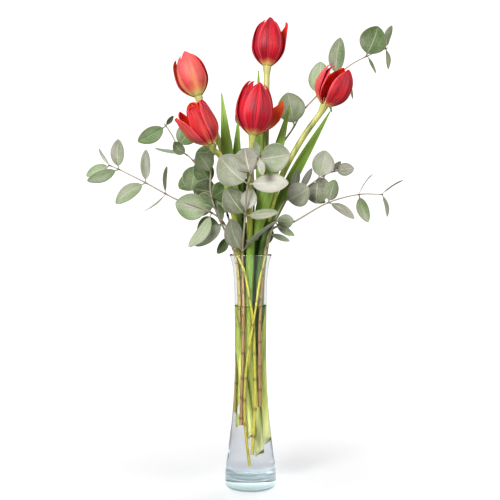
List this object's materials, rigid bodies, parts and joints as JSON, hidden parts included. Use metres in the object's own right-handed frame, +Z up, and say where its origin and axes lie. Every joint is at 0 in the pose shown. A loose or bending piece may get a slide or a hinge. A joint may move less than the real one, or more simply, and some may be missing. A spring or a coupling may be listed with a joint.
{
  "type": "tulip bouquet in a glass vase",
  "caption": "Red tulips with their leaves and sprigs of round-leaved eucalyptus, standing loose in a slim waisted clear glass vase of water.",
  "frame": {"origin": "the middle of the vase's flat foot, on the table", "axes": "+Z up; +Y away from the front of the bouquet, so its front faces -Y; +X to the right seen from the front"},
  "size_m": [0.3533, 0.1306, 0.545],
  "materials": {
    "vase_glass": "clear pressed glass with a faint blue-green tint in its thick base",
    "water": "clear still water",
    "petal": "satin crimson, orange-red inside, yellow at the base",
    "pistil_and_stamens": "matte yellow-green with dark anthers",
    "tulip_stem": "smooth satin yellow-green",
    "tulip_leaf": "satin green with fine lengthwise veins",
    "eucalyptus": "thin reddish-grey twigs with powdery grey-green leaves"
  },
  "bodies": {
    "root": {"eucalyptus_back_sprig": "eucalyptus", "eucalyptus_cluster_sprig": "eucalyptus", "eucalyptus_front_sprig": "eucalyptus", "eucalyptus_left_sprig": "eucalyptus", "eucalyptus_lower_left_sprig": "eucalyptus", "eucalyptus_right_sprig": "eucalyptus", "eucalyptus_upper_left_sprig": "eucalyptus", "eucalyptus_upper_right_sprig": "eucalyptus", "tulip_leaf_back": "tulip_leaf", "tulip_leaf_lower_left": "tulip_leaf", "tulip_leaf_middle": "tulip_leaf", "tulip_leaf_right": "tulip_leaf", "tulip_leaf_top": "tulip_leaf", "tulip_leaf_upper_left": "tulip_leaf", "tulip_lower_left_inner_tepal_1": "petal", "tulip_lower_left_inner_tepal_2": "petal", "tulip_lower_left_inner_tepal_3": "petal", "tulip_lower_left_outer_tepal_1": "petal", "tulip_lower_left_outer_tepal_2": "petal", "tulip_lower_left_outer_tepal_3": "petal", "tulip_lower_left_pistil_and_stamens": "pistil_and_stamens", "tulip_lower_left_stem": "tulip_stem", "tulip_middle_inner_tepal_1": "petal", "tulip_middle_inner_tepal_2": "petal", "tulip_middle_inner_tepal_3": "petal", "tulip_middle_outer_tepal_1": "petal", "tulip_middle_outer_tepal_2": "petal", "tulip_middle_outer_tepal_3": "petal", "tulip_middle_pistil_and_stamens": "pistil_and_stamens", "tulip_middle_stem": "tulip_stem", "tulip_right_inner_tepal_1": "petal", "tulip_right_inner_tepal_2": "petal", "tulip_right_inner_tepal_3": "petal", "tulip_right_outer_tepal_1": "petal", "tulip_right_outer_tepal_2": "petal", "tulip_right_outer_tepal_3": "petal", "tulip_right_pistil_and_stamens": "pistil_and_stamens", "tulip_right_stem": "tulip_stem", "tulip_top_inner_tepal_1": "petal", "tulip_top_inner_tepal_2": "petal", "tulip_top_inner_tepal_3": "petal", "tulip_top_outer_tepal_1": "petal", "tulip_top_outer_tepal_2": "petal", "tulip_top_outer_tepal_3": "petal", "tulip_top_pistil_and_stamens": "pistil_and_stamens", "tulip_top_stem": "tulip_stem", "tulip_upper_left_inner_tepal_1": "petal", "tulip_upper_left_inner_tepal_2": "petal", "tulip_upper_left_inner_tepal_3": "petal", "tulip_upper_left_outer_tepal_1": "petal", "tulip_upper_left_outer_tepal_2": "petal", "tulip_upper_left_outer_tepal_3": "petal", "tulip_upper_left_pistil_and_stamens": "pistil_and_stamens", "tulip_upper_left_stem": "tulip_stem", "vase": "vase_glass", "water": "water"}
  },
  "joints": []
}
